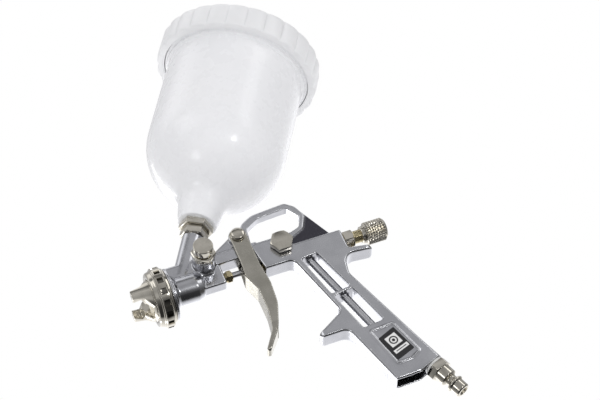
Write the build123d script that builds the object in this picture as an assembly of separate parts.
from build123d import *
import math
import os

# Gravity-feed HVLP spray gun.  All sizes in millimetres.
# Working frame: X = 0 at the air cap ring, spray direction -X, needle on the line Y = Z = 0, Z up.
# Everything is moved at the end so that the origin lies where a hook bears in the hanging loop.

# ---- driving dimensions -------------------------------------------------------------------------
HANG_X, HANG_Z = 88.0, 34.9        # where the hook bears, in the working frame

BODY_HALF = 6.5                    # half thickness of the handle casting
BEAM_HALF = 5.6                    # half thickness of the beam that the trigger straddles
LOOP_HALF = 3.4
WEB_HALF = 1.7
EDGE_ROUND = 1.4                   # casting edge radius

BARREL_R = 9.2
RIDGE_Z = 11.0                     # air passage above the paint passage
RIDGE_TOP = 17.4
RIDGE_HALF = 6.4
NOSE_R = 15.6                      # threaded nose inside the air cap ring
NOSE_FRONT, NOSE_REAR = -2.6, 4.6
HEAD_REAR = 42.0

RING_R = 20.0
RING_NOTCHES = 16
NOTCH_DEPTH = 2.2
CAP_R = 13.9
CAP_FLANGE_R = 15.4
HORN_REACH = -20.0                 # X of the horn tips

NEEDLE_R = 2.0
STEM_R = 3.0
VALVE_BORE_R = 4.5
HOUSING_R = 4.3                    # needle spring housing
HOUSING_BORE_R = 3.4
KNOB_R = 7.6                       # fluid control knob
KNURL_GROOVES = 32

PIVOT_X, PIVOT_Z = 60.0, 23.6
PIVOT_SHANK_R = 2.45
ARM_IN, ARM_OUT = 6.8, 7.9         # trigger side plates, measured from the middle
HINGE_GAP = 0.05
GAP = 0.3

PLUG_X, PLUG_Z = 84.5, 8.0          # hexagon plug on the side
HOOK_TIP_X = 138.8                 # tail hook behind the handle
SPUR_TIP_X = 81.8                  # finger spur in front of it

FAN_X = 32.3                       # fan control valve, axis along Y at the air passage
FAN_FACE = -27.0

CUP_FOOT_X = 11.5                  # where the cup's axis meets the needle's axis
CUP_TILT = 31.5                    # degrees back from vertical
CUP_R = 47.0
CUP_WALL = 1.8
CUP_RIM = 196.0                    # distances along the cup axis
LID_LOW, LID_TOP = 181.0, 199.5
LID_R = 56.0
LID_LOBES = 26
BOSS_TOP = 43.0

INLET_LEAN = 21.9                  # degrees back from straight down
INLET_END_X, INLET_END_Z = 151.8, -132.0
INLET_LENGTH = 25.0
COUPLING_R = 5.95                  # outer cylinder of the quick-coupling plug
TIP_R = 5.0


STANDING = (Align.CENTER, Align.CENTER, Align.MIN)     # a cylinder or cone that starts at its own Z = 0


# ---- helpers ------------------------------------------------------------------------------------
def along_x(x0, x1, r, y=0.0, z=0.0):
    """Cylinder from x0 to x1."""
    return Pos(x0, y, z) * Rot(0, 90, 0) * Cylinder(r, x1 - x0, align=STANDING)


def along_y(y0, y1, r, x, z):
    """Cylinder from y0 to y1."""
    return Pos(x, y0, z) * Rot(-90, 0, 0) * Cylinder(r, y1 - y0, align=STANDING)


def tube_x(x0, x1, r_out, r_in):
    return along_x(x0, x1, r_out) - along_x(x0 - 1, x1 + 1, r_in)


def hex_x(x0, x1, flats, r_in=0.0):
    """Hexagonal prism on the needle axis, with an optional bore."""
    prism = Pos(x0, 0, 0) * Rot(0, 90, 0) * extrude(RegularPolygon(flats / math.sqrt(3), 6), x1 - x0)
    if r_in:
        prism -= along_x(x0 - 1, x1 + 1, r_in)
    return prism


def side_face(points, radii):
    """Face in the X-Z plane with rounded corners."""
    return make_face(Plane.XZ * FilletPolyline(*points, radius=radii, close=True))


def side_plate(points, radii, half, edge=0.0):
    """Plate symmetric about Y = 0 whose outline lies in the X-Z plane."""
    plate = extrude(side_face(points, radii), amount=half, both=True)
    if edge:
        rims = plate.faces().filter_by(Axis.Y).edges()
        plate = fillet(rims, edge)
    return plate


def turned(profile):
    """Solid of revolution: profile points are (distance along Z, radius)."""
    line = Polyline(*[(r, 0, z) for z, r in profile], close=True)
    return revolve(make_face(line), Axis.Z)


def on_needle_axis(shape):
    """A shape made along +Z is laid along +X."""
    return Rot(0, 90, 0) * shape


def on_cup_axis(shape):
    """A shape made along +Z is stood on the cup's axis."""
    return Pos(CUP_FOOT_X, 0, 0) * Rot(0, CUP_TILT, 0) * shape


def on_inlet_axis(shape):
    """A shape made along +Z hangs from the handle; Z = 0 is the handle's foot, the end is INLET_LENGTH."""
    lean = math.radians(INLET_LEAN)
    x = INLET_END_X - INLET_LENGTH * math.sin(lean)
    z = INLET_END_Z + INLET_LENGTH * math.cos(lean)
    return Pos(x, 0, z) * Rot(0, 180 - INLET_LEAN, 0) * shape


def coil(radius, wire_r, length, turns):
    """Compression spring along +Z."""
    path = Helix(pitch=length / turns, height=length, radius=radius)
    section = Plane(origin=path @ 0, z_dir=path % 0) * Circle(wire_r)
    return sweep(section, path=path)


def centred_box(x0, x1, y0, y1, z0, z1):
    return Pos((x0 + x1) / 2, (y0 + y1) / 2, (z0 + z1) / 2) * Box(x1 - x0, y1 - y0, z1 - z0)


# ---- gun body -----------------------------------------------------------------------------------
def grip():
    """Valve housing, tail hook, handle and finger spur, as one outline."""
    points = [
        (64.4, 14.8), (83.0, 14.8), (91.0, 5.8), (124.0, 5.8), (124.2, -9.3), (HOOK_TIP_X, -12.0),
        (HOOK_TIP_X - 0.2, -15.4), (119.6, -13.4), (117.2, -28.0), (146.5, -106.2), (131.6, -112.4),
        (115.3, -112.8), (100.8, -67.5), (SPUR_TIP_X + 2.4, -67.6), (SPUR_TIP_X, -64.6), (101.6, -53.0),
        (87.4, -6.0), (68.2, -6.0),
    ]
    radii = [1.0, 3.0, 3.0, 1.0, 1.0, 1.4, 1.4, 7.0, 6.0, 1.6, 5.0, 2.0, 6.0, 1.3, 1.3, 4.0, 5.0, 1.0]
    return side_plate(points, radii, BODY_HALF, EDGE_ROUND)


def rounded_end(x_tip, side, radius, z0, z1):
    """Tool that rounds the corners of a tip seen from above; side is +1 for a tip at high X."""
    reach = 2 * BODY_HALF
    x_in = x_tip - side * radius
    block = centred_box(min(x_in, x_in + side * reach), max(x_in, x_in + side * reach), -reach, reach, z0, z1)
    core = centred_box(x_in - reach, x_in + reach, -BODY_HALF + radius, BODY_HALF - radius, z0 - 1, z1 + 1)
    tool = block - core
    for y in (-BODY_HALF + radius, BODY_HALF - radius):
        tool -= Pos(x_in, y, (z0 + z1) / 2) * Cylinder(radius, z1 - z0 + 2)
    return tool


def beam():
    """Bridge from the head to the valve housing, with the pivot ear standing on it."""
    bar = side_plate([(27.0, 16.5), (70.0, 16.5), (70.0, 8.0), (27.0, 8.0)], 1.0, BEAM_HALF, 0.9)
    web = side_plate([(38.0, 15.0), (40.5, 18.0), (55.5, 27.0), (66.0, 30.0), (68.0, 12.0)], 1.0, 3.6, 0.8)
    ear = along_y(-ARM_IN + GAP, ARM_IN - GAP, 6.2, PIVOT_X, PIVOT_Z)
    return bar + web + ear


def loop():
    """Hanging loop with the thin web behind it."""
    outer = [
        (60.5, 26.0), (66.0, 34.2), (74.0, 38.6), (98.0, 40.4), (103.8, 35.6), (107.6, 26.5), (103.0, 16.8),
        (92.0, 12.0), (66.0, 12.0),
    ]
    hole = [(66.6, 16.6), (68.2, 29.6), (77.5, 34.6), (97.8, 35.8), (104.0, 26.6), (100.2, 18.8), (94.0, 16.8)]
    frame = side_plate(outer, [3.0, 6.0, 12.0, 5.0, 5.0, 4.0, 5.0, 2.0, 2.0], LOOP_HALF, 1.3)
    opening = side_plate(hole, [1.5, 4.0, 8.0, 1.5, 3.0, 3.0, 3.0], BODY_HALF + 1)
    web = side_plate([(86.0, 4.0), (86.0, 18.0), (103.6, 36.6), (119.4, 5.0)], 1.0, WEB_HALF, 0.5)
    return frame + web, opening


def head():
    """Front casting: threaded nose, paint barrel, air ridge, fan boss, cup boss and rear block."""
    nose = along_x(NOSE_FRONT, NOSE_REAR, NOSE_R) + along_x(NOSE_REAR, NOSE_REAR + 2.0, 17.4)
    barrel = on_needle_axis(turned([(6.0, 0), (6.0, 11.2), (8.4, 11.2), (10.0, BARREL_R), (23.0, BARREL_R),
                                    (26.6, 7.9), (29.0, 4.5), (29.6, 0)]))
    ridge = side_plate([(5.6, RIDGE_TOP), (36.4, RIDGE_TOP), (36.4, 2.0), (5.6, 2.0)], [0.4, 6.0, 0.4, 0.4],
                       RIDGE_HALF, 2.6)
    block = side_plate([(24.0, 15.0), (HEAD_REAR, 15.0), (HEAD_REAR, -6.2), (24.0, -6.2)], 1.2, 4.6, 1.2)
    fan_boss = along_y(-15.6, 0, 7.4, FAN_X, RIDGE_Z)
    fan_boss = fillet(fan_boss.edges().sort_by(Axis.Y)[0], 0.8)
    cup_boss = on_cup_axis(turned([(8.0, 0), (8.0, 7.0), (BOSS_TOP, 7.3), (BOSS_TOP, 0)]))
    return nose + barrel + ridge + block + fan_boss + cup_boss


def handle_windows():
    """Two windows in line that leave a slanted rib between them."""
    upper = [(91.9, -7.6), (103.2, -6.2), (114.0, -37.6), (100.6, -39.2)]
    lower = [(101.3, -41.2), (114.8, -39.6), (124.2, -68.6), (110.2, -70.2)]
    return side_plate(upper, 1.2, BODY_HALF + 1) + side_plate(lower, 1.2, BODY_HALF + 1)


def handle_cavity():
    """Hollow foot of the handle, open at the bottom."""
    points = [(109.2, -82.0), (134.6, -82.0), (146.0, -112.0), (148.0, -122.0), (118.0, -122.0)]
    return side_plate(points, [2.0, 2.0, 1.0, 1.0, 1.0], BODY_HALF - 1.9)


def air_tube():
    """Cast air pipe that runs down the middle of both windows to the inlet thread."""
    top = Vector(97.6, 0, -4.0)
    foot = Vector(120.0, 0, -76.0)
    run = foot - top
    pipe = Plane(origin=top, z_dir=run) * Cylinder(2.7, run.length, align=STANDING)
    bore = Plane(origin=top, z_dir=run) * Cylinder(1.6, run.length + 18, align=STANDING)
    return pipe, bore


def inlet_boss():
    boss = on_inlet_axis(Pos(0, 0, -30.0) * Cylinder(7.0, 29.2, align=STANDING))
    bore = on_inlet_axis(Pos(0, 0, -13.0) * Cylinder(4.6, 14.0, align=STANDING))
    slab = side_plate([(100, -70), (150, -70), (160, -120), (110, -120)], 1.0, BODY_HALF - 0.8)
    return boss & slab, bore


def near_side(points, radius, height):
    """Thin raised shape on the near side of the handle."""
    sheet = side_face(points, radius)
    return Pos(0, -BODY_HALF, 0) * extrude(sheet, amount=height, dir=(0, -1, 0))


def name_panel():
    """Raised border on the side of the handle that frames the label."""
    outer = [(111.7, -74.3), (128.3, -73.4), (136.8, -98.4), (129.6, -102.4), (119.6, -102.6)]
    inner = [(112.9, -75.1), (127.7, -74.3), (135.7, -98.1), (129.4, -101.5), (120.2, -101.7)]
    return near_side(outer, 1.6, 0.5) - near_side(inner, 1.0, 1.0)


def passages():
    """Bores for paint, needle, valve, spring housing and air."""
    cuts = along_x(NOSE_FRONT - 1, 1.4, 13.0)
    cuts += along_x(1.0, 11.0, 5.0)
    cuts += along_x(10.0, 35.0, 3.6)
    cuts += along_x(34.0, HEAD_REAR + 1, 3.3)
    cuts += on_cup_axis(Cylinder(3.4, 34.0, align=STANDING))
    cuts += on_cup_axis(Pos(0, 0, 28.0) * Cylinder(5.4, 20.0, align=STANDING))
    cuts += along_x(60.0, 69.4, 5.2)
    cuts += along_x(69.0, 74.2, 4.2)
    cuts += along_x(74.0, 78.2, 3.9)
    cuts += along_x(78.0, 104.6, VALVE_BORE_R)
    cuts += along_x(104.0, 126.0, HOUSING_R + HINGE_GAP)
    cuts += along_x(8.0, 84.5, 2.2, z=RIDGE_Z)
    cuts += along_y(-16.0, 2.0, 3.6, FAN_X, RIDGE_Z)
    cuts += along_y(-BODY_HALF - 1, 2.0, 4.1, PLUG_X, PLUG_Z)
    for angle in range(0, 360, 60):
        cuts += Rot(angle, 0, 0) * along_x(NOSE_FRONT - 1, 7.0, 1.3, z=9.6)
    cuts += tube_x(5.4, 7.2, 10.4, 8.8)
    return cuts


def gun_body():
    frame, opening = loop()
    pipe, bore = air_tube()
    boss, thread = inlet_boss()
    shell = grip() - handle_windows() - handle_cavity()
    shell -= rounded_end(HOOK_TIP_X, 1, 5.0, -17.5, -9.0)
    shell -= rounded_end(SPUR_TIP_X, -1, 4.5, -72.0, -56.0)
    casting = shell + beam() + frame + head()
    casting -= opening
    casting += pipe
    casting += boss
    casting += name_panel()
    casting -= passages()
    casting -= bore
    casting -= thread
    casting -= along_y(-ARM_IN, ARM_IN, PIVOT_SHANK_R, PIVOT_X, PIVOT_Z)
    return casting


# ---- spray head ---------------------------------------------------------------------------------
def air_cap_ring():
    profile = [(-7.0, 14.3), (-7.0, 17.4), (-6.4, 18.0), (-4.2, 18.6), (-3.8, 19.2), (-3.3, 19.2), (-3.0, RING_R),
               (2.2, RING_R), (2.6, 19.4), (3.0, 18.4), (4.1, 18.2), (4.1, 15.9), (-5.5, 15.9), (-5.5, 14.3)]
    ring = on_needle_axis(turned(profile))
    for i in range(RING_NOTCHES):
        notch = centred_box(-2.3, 1.5, -2.1, 2.1, RING_R - NOTCH_DEPTH, RING_R + 1.0)
        ring -= Rot(360.0 * i / RING_NOTCHES, 0, 0) * notch
    return ring


def horn(side):
    """One air horn; side is -1 for the near one and +1 for the far one."""
    outline = [(-7.0, -11.0), (-9.4, -8.6), (-12.6, -4.6), (HORN_REACH, -3.1), (HORN_REACH, 3.1), (-12.6, 4.6),
               (-9.4, 8.6), (-7.0, 11.0)]
    slab = extrude(side_face(outline, [0.6, 3.0, 4.0, 0.5, 0.5, 4.0, 3.0, 0.6]), amount=16.0, both=True)
    inner, outer = 6.4, CAP_R - 0.4
    band = Pos(0, side * (inner + outer) / 2, 0) * Box(60, outer - inner, 60)
    piece = slab & band & along_x(-30, 0, CAP_R - 0.4)
    chamfer_tool = Pos(HORN_REACH, side * (inner - 1.0), 0) * Rot(0, 0, side * 24) * Box(14, 6.0, 20)
    return piece - chamfer_tool


def air_cap():
    disc = on_needle_axis(turned([(-8.4, 0), (-8.4, 11.6), (-7.2, CAP_R), (-5.2, CAP_R), (-5.2, CAP_FLANGE_R),
                                  (-3.4, CAP_FLANGE_R), (-3.4, 12.2), (-6.6, 12.2), (-6.6, 0)]))
    cap = disc + horn(-1) + horn(1)
    cap -= along_x(-12.0, 0.0, 2.3)
    for side in (-1, 1):
        cap -= Pos(-16.6, side * 7.6, 0) * Rot(0, 0, side * 55) * Rot(0, 90, 0) * Cylinder(0.65, 8.0)
        cap -= along_x(-14.0, -6.0, 1.3, y=side * 10.2)
        for spread in (-1, 1):
            cap -= along_x(-12.0, 0.0, 0.5, y=spread * 2.2, z=side * 4.6)
    return cap


def fluid_nozzle():
    profile = [(-9.2, 0.75), (-9.2, 1.7), (-6.0, 2.0), (-3.6, 4.6), (-1.0, 5.4), (-1.0, 6.2), (0.8, 6.2), (0.8, 5.0),
               (10.6, 5.0), (10.6, 2.6), (-2.0, 2.6), (-7.6, 0.75)]
    return on_needle_axis(turned(profile))


def air_distributor():
    ring = tube_x(-0.9, 1.2, 12.9, 6.3)
    for angle in range(0, 360, 30):
        ring -= Rot(angle, 0, 0) * along_x(-2.0, 2.0, 0.9, z=9.6)
    return ring


# ---- needle, packing and air valve --------------------------------------------------------------
def fluid_needle():
    tip = turned([(-8.9, 0), (-8.9, 0.3), (-7.4, 0.66), (-2.4, 2.3), (-1.0, 1.6), (11.0, 1.6), (12.5, NEEDLE_R),
                  (129.4, NEEDLE_R), (130.0, 1.5), (130.0, 0)])
    return on_needle_axis(tip)


def needle_collar():
    return tube_x(107.8, 110.6, 3.1, NEEDLE_R)


def needle_packing():
    return tube_x(34.6, 38.4, 3.2, NEEDLE_R + HINGE_GAP)


def packing_screw():
    tail = tube_x(38.5, 43.6, 3.2, NEEDLE_R + GAP)
    nut = hex_x(43.6, 46.6, 7.6, NEEDLE_R + GAP)
    nose = tube_x(46.6, 47.4, 3.0, NEEDLE_R + GAP)
    return tail + nut + nose


def air_valve_stem():
    bore = NEEDLE_R + GAP
    flange = tube_x(59.3, 60.5, 4.6, bore)
    front = tube_x(60.5, 90.2, STEM_R, bore)
    disc = tube_x(90.0, 91.5, 4.1, bore)
    rear = tube_x(91.5, 106.4, STEM_R - 0.3, bore)
    return flange + front + disc + rear


def air_valve_washer():
    return tube_x(88.9, 90.0, 4.0, STEM_R)


def air_valve_seat():
    return tube_x(85.4, 88.8, VALVE_BORE_R - 0.05, STEM_R + 0.4)


def air_valve_gland():
    gland = tube_x(69.5, 73.8, 4.15, STEM_R + HINGE_GAP)
    return gland - centred_box(69.0, 70.3, -0.5, 0.5, -6.0, 6.0)


def air_valve_seal():
    return tube_x(74.3, 77.8, 3.85, STEM_R + HINGE_GAP)


def air_valve_spring():
    return Pos(92.0, 0, 0) * Rot(0, 90, 0) * coil(3.6, 0.35, 12.0, 6)


def needle_spring():
    return Pos(111.2, 0, 0) * Rot(0, 90, 0) * coil(2.75, 0.3, 31.8, 14)


def spring_housing():
    tube = tube_x(106.4, 141.0, HOUSING_R, HOUSING_BORE_R)
    front = tube_x(104.9, 106.4, HOUSING_R, STEM_R)
    housing = tube + front
    for i in range(5):
        groove = tube_x(131.6 + i * 1.0, 132.1 + i * 1.0, HOUSING_R + 1, HOUSING_R - 0.3)
        housing -= groove
    return housing


def rear_lock_nut():
    nut = hex_x(124.5, 130.6, 11.0, HOUSING_R + 0.02)
    return nut & on_needle_axis(turned([(124.5, 0), (124.5, 6.35), (129.9, 6.35), (130.6, 5.6), (130.6, 0)]))


def fluid_knob():
    profile = [(136.4, HOUSING_R + 0.1), (136.4, 5.6), (139.0, 5.9), (139.2, KNOB_R), (151.8, KNOB_R), (153.2, 6.2),
               (153.6, 0), (136.0, 0), (136.0, NEEDLE_R), (144.2, NEEDLE_R), (144.2, HOUSING_BORE_R),
               (144.3, HOUSING_R + 0.1)]
    knob = on_needle_axis(turned(profile))
    for i in range(KNURL_GROOVES):
        angle = 360.0 * i / KNURL_GROOVES
        knob -= Rot(angle, 0, 0) * Pos(145.5, 0, KNOB_R + 0.1) * Rot(45, 0, 0) * Box(11.6, 0.7, 0.7)
    return knob


# ---- fan control and plugs ----------------------------------------------------------------------
def fan_control_nut():
    hexagon = RegularPolygon(14.0 / math.sqrt(3), 6, rotation=-21)
    blank = Pos(FAN_X, 0, RIDGE_Z) * Rot(90, 0, 0) * Pos(0, 0, 15.7) * extrude(hexagon, 4.3)
    tail = along_y(-15.7, -9.0, 3.55, FAN_X, RIDGE_Z)
    return blank + tail - along_y(-30.0, 0.0, 2.05, FAN_X, RIDGE_Z)


def fan_control_stem():
    stem = along_y(-22.0, -3.0, 2.0, FAN_X, RIDGE_Z)
    cone = Cone(2.0, 0.6, 3.0, align=STANDING)
    return stem + Pos(FAN_X, -3.0, RIDGE_Z) * Rot(-90, 0, 0) * cone


def fan_control_knob():
    knob = along_y(FAN_FACE, -21.2, 6.5, FAN_X, RIDGE_Z)
    knob = fillet(knob.edges().filter_by(GeomType.CIRCLE), 0.7)
    waist = along_y(-21.4, -20.4, 3.4, FAN_X, RIDGE_Z)
    return knob + waist - along_y(-22.0, 0.0, 2.0, FAN_X, RIDGE_Z)


def air_passage_plug():
    """Hexagon-headed plug of the cross-drilled air passage."""
    out = Pos(PLUG_X, 0, PLUG_Z) * Rot(90, 0, 0)
    blank = out * Pos(0, 0, BODY_HALF + 0.9) * extrude(RegularPolygon(13.8 / math.sqrt(3), 6), 3.6)
    crown = out * turned([(0, 0), (0, 8.2), (BODY_HALF + 3.8, 8.2), (BODY_HALF + 4.5, 7.0), (BODY_HALF + 4.5, 0)])
    shank = along_y(-BODY_HALF - 1.0, -3.4, 4.05, PLUG_X, PLUG_Z)
    return (blank & crown) + shank


def plug_washer():
    disc = along_y(-BODY_HALF - 0.9, -BODY_HALF, 7.0, PLUG_X, PLUG_Z)
    return disc - along_y(-BODY_HALF - 2, 0.0, 4.05, PLUG_X, PLUG_Z)


# ---- trigger ------------------------------------------------------------------------------------
def trigger_outline():
    """Side view: straight arm, shoulder, finger blade and forward curl."""
    points = [
        (54.4, 29.2), (65.6, 29.2), (65.8, -2.0), (67.4, -18.0), (66.2, -34.0), (60.4, -51.0), (50.2, -64.2),
        (47.8, -62.8), (56.2, -50.6), (58.2, -36.0), (58.0, -20.0), (53.6, -8.0), (54.4, 2.0),
    ]
    radii = [5.4, 5.4, 12.0, 16.0, 25.0, 12.0, 1.3, 1.3, 9.0, 16.0, 6.0, 4.0, 6.0]
    return points, radii


def trigger():
    points, radii = trigger_outline()
    block = side_plate(points, radii, ARM_OUT, 0.5)
    inside = [
        (50.0, 40.0), (75.0, 40.0), (75.0, -51.0), (61.4, -52.2), (58.2, -52.6), (60.0, -36.0), (59.8, -20.6),
        (55.2, -9.0), (55.2, -7.0), (40.0, -7.0),
    ]
    hollow = side_plate(inside, [1, 1, 1, 1, 1, 16.0, 5.0, 1.0, 0.2, 1], ARM_IN)
    shell = block - hollow
    yoke = centred_box(55.4, 56.8, -ARM_OUT + 0.4, ARM_OUT - 0.4, -9.4, 6.2)
    yoke -= centred_box(54.0, 58.0, -2.7, 2.7, -3.4, 8.0)
    pads = along_y(3.1, ARM_OUT - 0.4, 1.6, 57.4, 0.0) + along_y(-ARM_OUT + 0.4, -3.1, 1.6, 57.4, 0.0)
    shell += yoke + pads
    shell -= along_y(-ARM_OUT - 1, ARM_OUT + 1, PIVOT_SHANK_R + HINGE_GAP, PIVOT_X, PIVOT_Z)
    front = [(-ARM_OUT - 1, 40.0), (ARM_OUT + 1, 40.0), (ARM_OUT + 1, -42.0), (4.0, -64.6), (-4.0, -64.6),
             (-ARM_OUT - 1, -42.0)]
    tongue = make_face(Plane.YZ * FilletPolyline(*front, radius=[1, 1, 12.0, 3.6, 3.6, 12.0], close=True))
    return shell & extrude(tongue, amount=120, both=True)


def pivot_screw():
    shank = along_y(-ARM_OUT - GAP, ARM_OUT + 1.6, PIVOT_SHANK_R, PIVOT_X, PIVOT_Z)
    head_shape = turned([(0, 0), (0, 4.8), (1.2, 4.8), (2.1, 4.1), (2.6, 2.6), (2.8, 0)])
    head_shape = Pos(PIVOT_X, -ARM_OUT - GAP, PIVOT_Z) * Rot(90, 0, 0) * head_shape
    return shank + head_shape


def pivot_nut():
    nut = turned([(0, PIVOT_SHANK_R), (0, 4.8), (1.2, 4.8), (2.1, 4.1), (2.4, PIVOT_SHANK_R)])
    return Pos(PIVOT_X, ARM_OUT + GAP, PIVOT_Z) * Rot(-90, 0, 0) * nut


# ---- cup ----------------------------------------------------------------------------------------
def cup_section(radius, neck, base, rim, bend):
    """Half section of a bowl: neck, flare, rounded shoulder and straight wall."""
    flare = base + 16.5
    shoulder = base + 38.0
    points = [(0, 0, base), (neck, 0, base), (neck + 3.6, 0, flare + 1.7), (radius, 0, shoulder + 1.2),
              (radius, 0, rim), (0, 0, rim)]
    return make_face(FilletPolyline(*points, radius=[0.1, 0.1, 14.0, bend, 0.1, 0.1], close=True))


def cup():
    outside = revolve(cup_section(CUP_R, 12.9, 53.8, CUP_RIM, 45.0), Axis.Z)
    inside = revolve(cup_section(CUP_R - CUP_WALL, 11.0, 56.0, CUP_RIM + 1, 43.2), Axis.Z)
    throat = Cylinder(6.05, 20.0, align=STANDING)
    thread = turned([(186.0, CUP_R - 0.5), (186.0, CUP_R + 1.4), (187.4, 49.2), (189.0, 49.2), (190.4, CUP_R + 1.2),
                     (190.4, CUP_R - 0.5)])
    flange = turned([(178.0, CUP_R - 0.5), (178.6, 48.4), (180.2, 48.4), (180.6, CUP_R - 0.5)])
    body = outside + thread + flange - inside - Pos(0, 0, 45.0) * throat
    return on_cup_axis(body)


def lid_outline(radius):
    """Scalloped outline of the lid's grip."""
    step = 360.0 / LID_LOBES
    start = [(radius * math.cos(math.radians(step * i)), radius * math.sin(math.radians(step * i)))
             for i in range(LID_LOBES)]
    arcs = []
    for i in range(LID_LOBES):
        middle = math.radians(step * (i + 0.5))
        bulge = radius + 1.3
        arcs.append(ThreePointArc(start[i], (bulge * math.cos(middle), bulge * math.sin(middle)),
                                  start[(i + 1) % LID_LOBES]))
    return make_face(Curve() + arcs)


def cup_lid():
    skirt = Pos(0, 0, LID_LOW) * extrude(lid_outline(LID_R - 1.3), LID_TOP - LID_LOW)
    softened = turned([(LID_LOW, 0), (LID_LOW, 55.6), (LID_LOW + 1.0, LID_R + 1), (LID_TOP - 2.2, LID_R + 1),
                       (LID_TOP, LID_R - 2.6), (LID_TOP, 0)])
    hollow = turned([(LID_LOW - 1, 0), (LID_LOW - 1, 50.3), (LID_TOP - 2.0, 50.3), (LID_TOP - 2.0, 0)])
    plate = (skirt & softened) - hollow
    dish = turned([(LID_TOP - 0.9, 0), (LID_TOP - 0.9, 40.0), (LID_TOP + 1, 42.0), (LID_TOP + 1, 0)])
    vent = Pos(0, 0, LID_TOP - 5) * Cylinder(3.0, 10.0, align=STANDING)
    return on_cup_axis(plate - dish - vent)


def lid_liner():
    return on_cup_axis(turned([(CUP_RIM + 0.3, 40.5), (CUP_RIM + 0.3, 49.9), (LID_TOP - 2.3, 49.9),
                               (LID_TOP - 2.3, 40.5)]))


def lid_vent_plug():
    plug = turned([(LID_TOP - 4.4, 0), (LID_TOP - 4.4, 2.4), (LID_TOP - 0.6, 2.7), (LID_TOP - 0.6, 5.2),
                   (LID_TOP + 0.6, 5.2), (LID_TOP + 1.0, 4.6), (LID_TOP + 1.0, 0)])
    return on_cup_axis(plug)


def hex_on_cup_axis(t0, t1, flats, bore):
    prism = Pos(0, 0, t0) * extrude(RegularPolygon(flats / math.sqrt(3), 6), t1 - t0)
    face_r = flats / 2 + 0.3
    crown = turned([(t0, 0), (t0, face_r), (t0 + 0.8, flats), (t1 - 0.8, flats), (t1, face_r), (t1, 0)])
    hole = Pos(0, 0, t0 - 1) * Cylinder(bore, t1 - t0 + 2, align=STANDING)
    return on_cup_axis((prism & crown) - hole)


def cup_adapter():
    tube = on_cup_axis(turned([(31.0, 3.6), (31.0, 5.0), (48.8, 5.0), (48.8, 6.0), (66.0, 6.0), (66.0, 4.8),
                               (58.0, 4.8), (56.0, 3.6)]))
    return hex_on_cup_axis(48.8, 53.0, 20.0, 5.9) + tube


def cup_lock_nut():
    return hex_on_cup_axis(BOSS_TOP + 0.1, 48.6, 16.4, 5.05)


def cup_gasket():
    return on_cup_axis(turned([(53.05, 6.1), (53.05, 10.0), (53.75, 10.0), (53.75, 6.1)]))


def cup_inner_nut():
    prism = Pos(0, 0, 56.5) * extrude(RegularPolygon(17.0 / math.sqrt(3), 6), 3.6)
    hole = Pos(0, 0, 55.0) * Cylinder(6.02, 8.0, align=STANDING)
    return on_cup_axis(prism - hole)


def paint_filter():
    shell = turned([(58.2, 0), (58.2, 4.6), (66.2, 4.6), (66.2, 7.4), (67.2, 7.4), (67.2, 3.9), (59.0, 3.9), (59.0, 0)])
    for level in range(3):
        for angle in range(0, 360, 45):
            slot = Pos(0, 0, 60.4 + 1.9 * level) * Rot(0, 0, angle) * Pos(4.2, 0, 0) * Box(2.0, 1.5, 1.2)
            shell -= slot
    return on_cup_axis(shell)


# ---- air inlet ----------------------------------------------------------------------------------
def inlet_nipple():
    """Hexagon, plug body, coupling groove, ridge and tip."""
    nut = Pos(0, 0, 0.8) * extrude(RegularPolygon(14.0 / math.sqrt(3), 6), 5.2)
    outside = turned([(-10.0, 0), (-10.0, 4.5), (0.8, 4.5), (0.8, 6.6), (6.0, 6.6), (6.0, COUPLING_R),
                      (12.2, COUPLING_R), (12.8, 5.3), (13.6, 3.9), (16.0, 3.9), (16.6, 5.4), (17.2, COUPLING_R),
                      (18.2, COUPLING_R), (19.0, TIP_R), (24.2, TIP_R), (INLET_LENGTH, 4.4), (INLET_LENGTH, 0)])
    bore = Pos(0, 0, -12.0) * Cylinder(2.9, 60.0, align=STANDING)
    return on_inlet_axis(nut + outside - bore)


def inlet_washer():
    return on_inlet_axis(turned([(-0.75, 4.6), (-0.75, 6.6), (0.75, 6.6), (0.75, 4.6)]))


def handle_label():
    """Thin label inside the raised border."""
    corners = [(127.2, -76.6), (133.8, -95.3), (120.8, -100.2), (115.3, -81.5)]
    return near_side(corners, 0.6, 0.3)


# ---- write the parts ----------------------------------------------------------------------------
PARTS = {
    "gun_body": gun_body,
    "air_cap_ring": air_cap_ring,
    "air_cap": air_cap,
    "fluid_nozzle": fluid_nozzle,
    "air_distributor": air_distributor,
    "fluid_needle": fluid_needle,
    "needle_collar": needle_collar,
    "needle_packing": needle_packing,
    "packing_screw": packing_screw,
    "needle_spring": needle_spring,
    "spring_housing": spring_housing,
    "rear_lock_nut": rear_lock_nut,
    "fluid_knob": fluid_knob,
    "air_valve_stem": air_valve_stem,
    "air_valve_washer": air_valve_washer,
    "air_valve_seat": air_valve_seat,
    "air_valve_gland": air_valve_gland,
    "air_valve_seal": air_valve_seal,
    "air_valve_spring": air_valve_spring,
    "air_passage_plug": air_passage_plug,
    "plug_washer": plug_washer,
    "fan_control_nut": fan_control_nut,
    "fan_control_stem": fan_control_stem,
    "fan_control_knob": fan_control_knob,
    "trigger": trigger,
    "pivot_screw": pivot_screw,
    "pivot_nut": pivot_nut,
    "cup": cup,
    "cup_lid": cup_lid,
    "lid_liner": lid_liner,
    "lid_vent_plug": lid_vent_plug,
    "cup_adapter": cup_adapter,
    "cup_lock_nut": cup_lock_nut,
    "cup_gasket": cup_gasket,
    "cup_inner_nut": cup_inner_nut,
    "paint_filter": paint_filter,
    "inlet_nipple": inlet_nipple,
    "inlet_washer": inlet_washer,
    "handle_label": handle_label,
}

os.makedirs("parts", exist_ok=True)
for name, make in PARTS.items():
    shape = Pos(-HANG_X, 0, -HANG_Z) * make()
    export_step(shape, f"parts/{name}.step")
